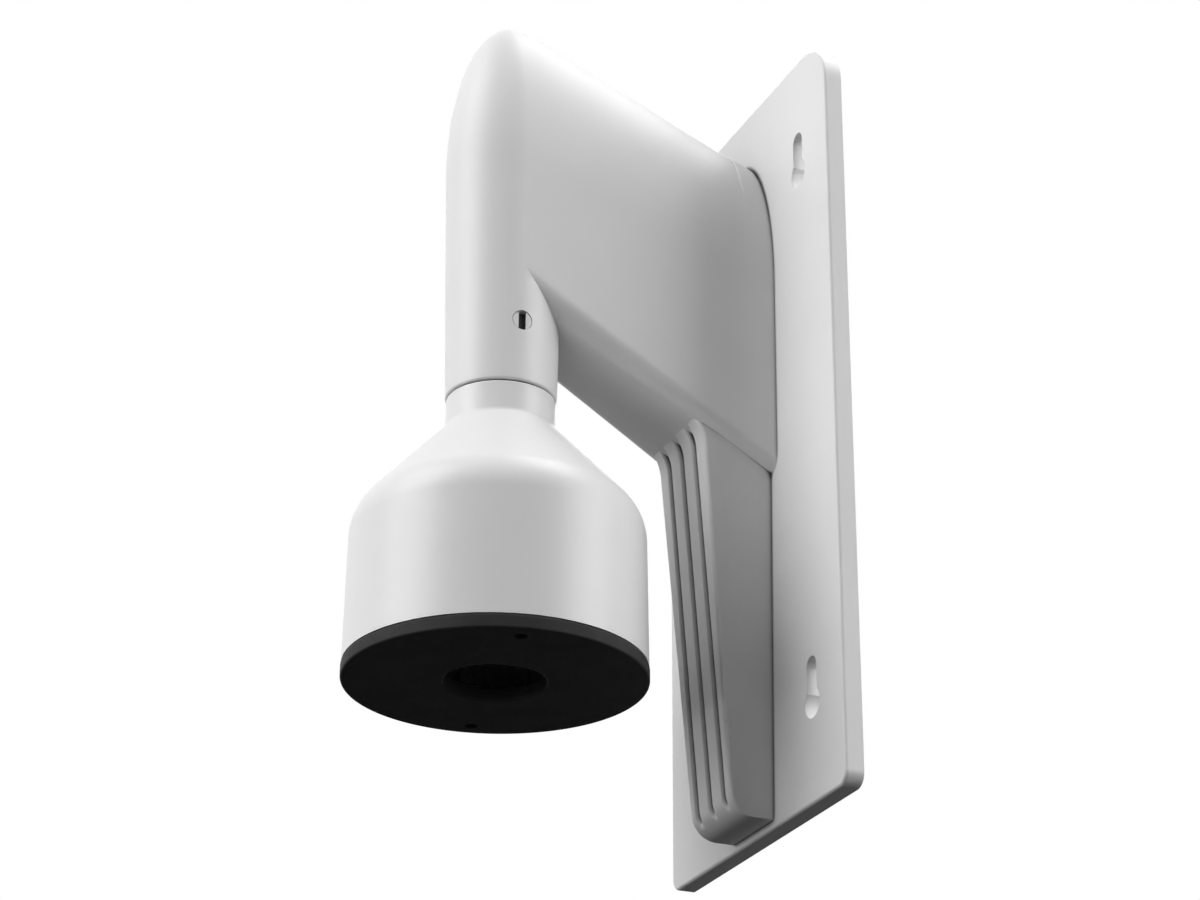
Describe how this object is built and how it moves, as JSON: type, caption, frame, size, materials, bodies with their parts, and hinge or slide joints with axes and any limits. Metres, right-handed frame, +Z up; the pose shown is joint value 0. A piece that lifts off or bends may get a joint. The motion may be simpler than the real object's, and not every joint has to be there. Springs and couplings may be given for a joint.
{
  "type": "wall mount bracket for a dome security camera",
  "caption": "White cast wall bracket with an arched hollow arm, a fluted leg and a screw-on bell cap under its nose that holds a dome camera by a black gasket face.",
  "frame": {"origin": "middle of the wall plate's back, in the plane of the wall", "axes": "+Z up the wall, +Y into the wall, -Y out into the room along the arm, +X to the right of someone who faces the wall"},
  "size_m": [0.14, 0.157, 0.305],
  "materials": {
    "white_paint": "satin white powder coat on cast aluminium",
    "white_cap_paint": "satin white powder coat on cast aluminium",
    "screw_paint": "white paint on a steel set screw, bare in its slot",
    "black_rubber": "matt black moulded rubber",
    "grey_foam": "closed-cell foam strip",
    "zinc_steel": "bright zinc plate",
    "insert_brass": "turned brass"
  },
  "bodies": {
    "bracket": {"bracket_casting": "white_paint", "wall_gasket": "grey_foam", "pipe_nipple": "zinc_steel", "safety_wire_washer": "zinc_steel", "safety_wire_screw": "zinc_steel"},
    "set_screw": {"neck_set_screw": "screw_paint"},
    "seal": {"neck_seal_ring": "black_rubber"},
    "cap": {"pendant_cap": "white_cap_paint", "camera_gasket": "black_rubber", "cap_insert_1": "insert_brass", "cap_insert_2": "insert_brass"}
  },
  "joints": [
    {"name": "cap_travel", "type": "slide", "parent": "bracket", "child": "seal", "axis": [0, 0, -1], "range_m": [0, 0.0109]},
    {"name": "cap_turn", "type": "hinge", "parent": "seal", "child": "cap", "pos_m": [0, -0.104, 0], "axis": [0, 0, -1], "range_deg": [0, 2160]},
    {"name": "set_screw_travel", "type": "slide", "parent": "bracket", "child": "set_screw", "axis": [1, 0, 0], "range_m": [0, 0.003]}
  ],
  "couplings": [
    {"joint": "cap_travel", "follows": "cap_turn", "m_per_rad": 0.00028875}
  ]
}
